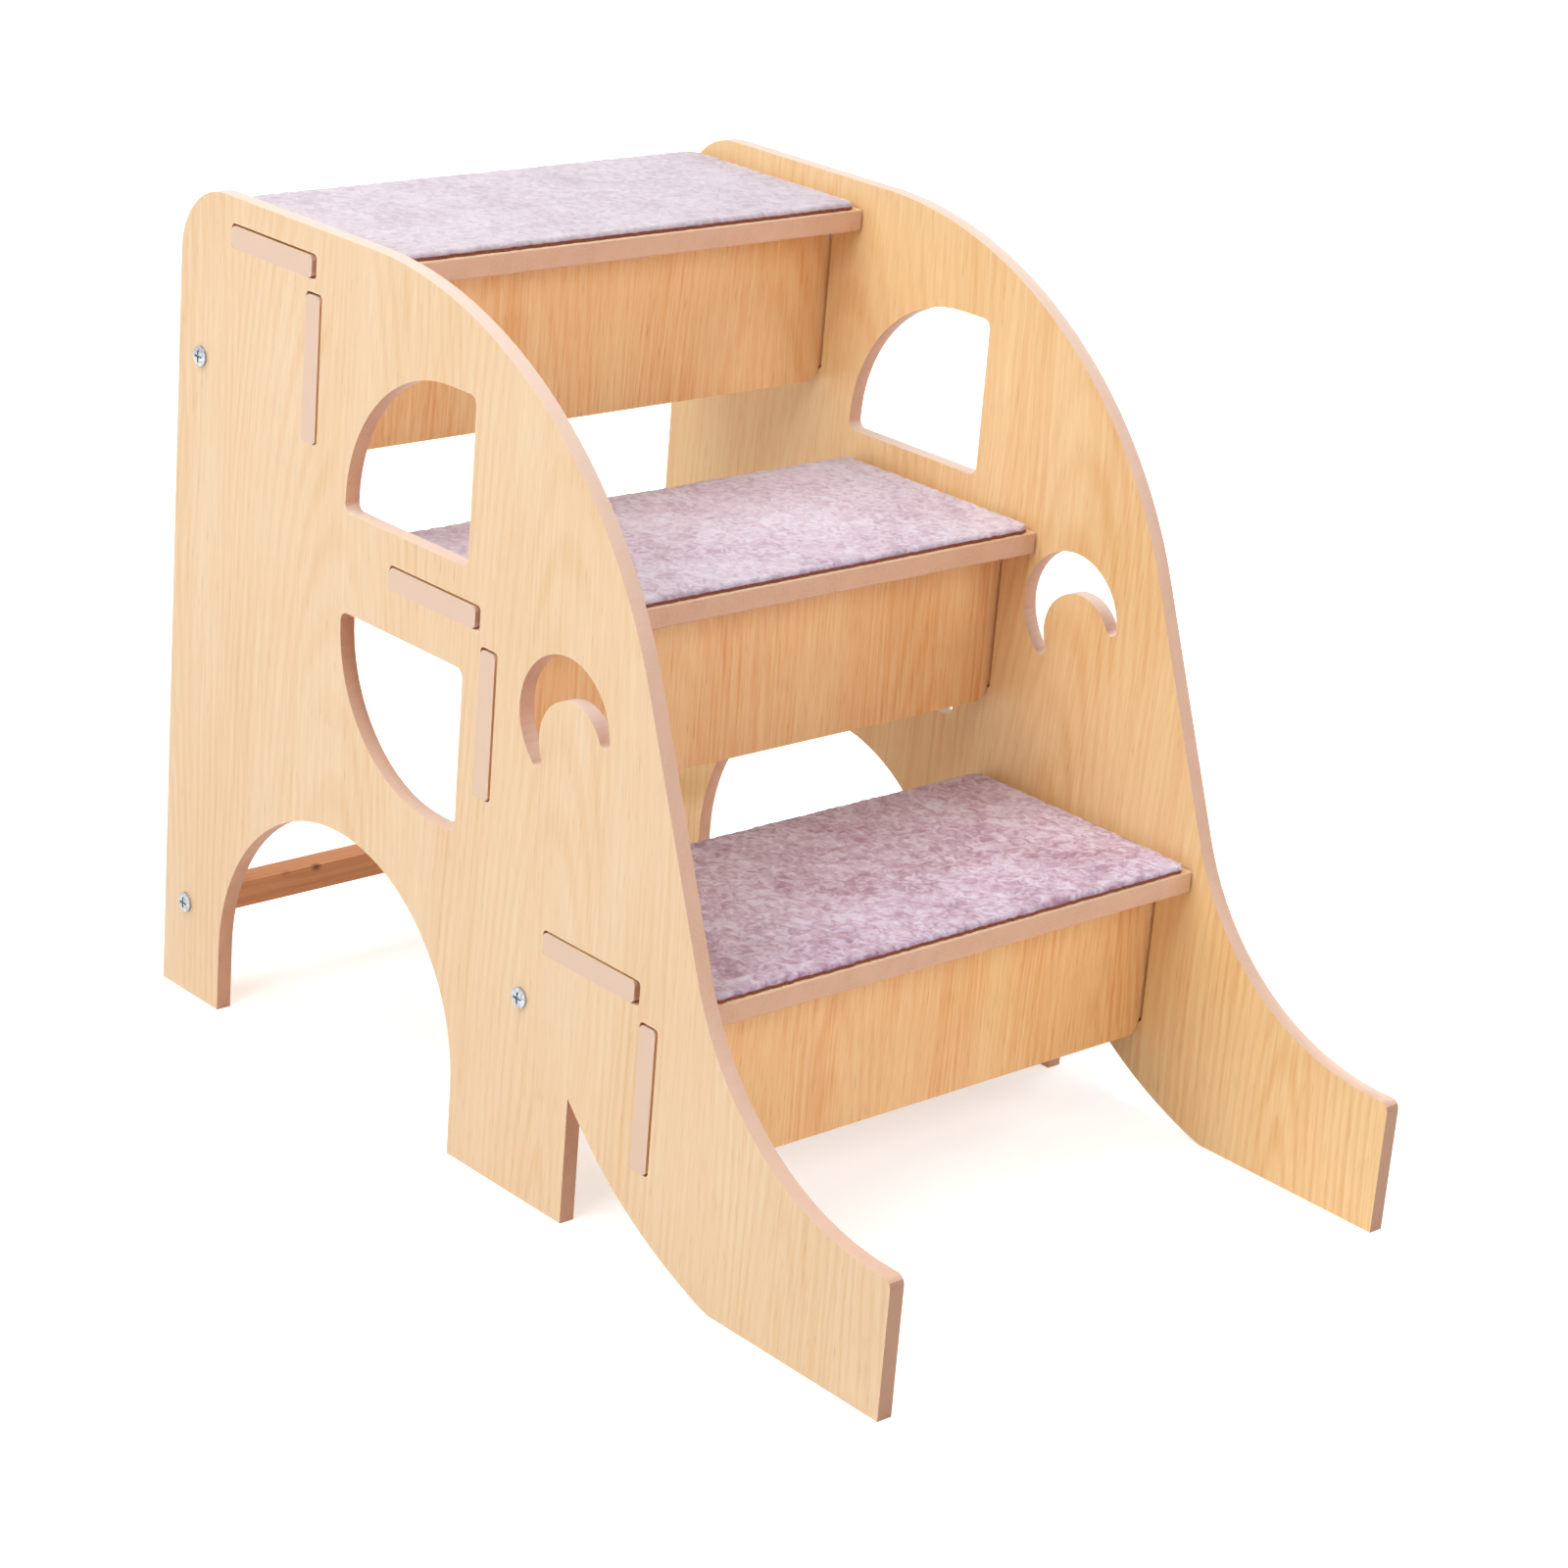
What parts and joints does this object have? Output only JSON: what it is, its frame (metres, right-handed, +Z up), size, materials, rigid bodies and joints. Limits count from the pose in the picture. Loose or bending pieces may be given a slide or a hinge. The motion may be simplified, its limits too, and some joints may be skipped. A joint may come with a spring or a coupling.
{
  "type": "pet stairs",
  "caption": "Stepped wooden pet stairs with cut-out side panels, tenoned treads and risers, screwed crossbars and carpet pads.",
  "frame": {"origin": "on the floor, in the middle of the width and of the depth", "axes": "+X to the right seen from the front, +Y from the bottom step towards the top step, +Z up"},
  "size_m": [0.3648, 0.6, 0.46],
  "materials": {
    "laminated_mdf_panel": "satin wood-grain laminate on fibreboard, bare edges",
    "laminated_mdf_step": "satin wood-grain laminate on fibreboard, bare edges",
    "softwood": "planed, uncoated",
    "carpet": "short cut pile",
    "zinc_plated_steel": "bright zinc plating"
  },
  "bodies": {
    "root": {"left_side_panel": "laminated_mdf_panel", "right_side_panel": "laminated_mdf_panel", "bottom_tread": "laminated_mdf_step", "bottom_riser": "laminated_mdf_step", "bottom_carpet_pad": "carpet", "middle_tread": "laminated_mdf_step", "middle_riser": "laminated_mdf_step", "middle_carpet_pad": "carpet", "top_tread": "laminated_mdf_step", "top_riser": "laminated_mdf_step", "top_carpet_pad": "carpet", "lower_rear_crossbar": "softwood", "left_lower_rear_screw": "zinc_plated_steel", "right_lower_rear_screw": "zinc_plated_steel", "upper_rear_crossbar": "softwood", "left_upper_rear_screw": "zinc_plated_steel", "right_upper_rear_screw": "zinc_plated_steel", "front_crossbar": "softwood", "left_front_screw": "zinc_plated_steel", "right_front_screw": "zinc_plated_steel"}
  },
  "joints": []
}
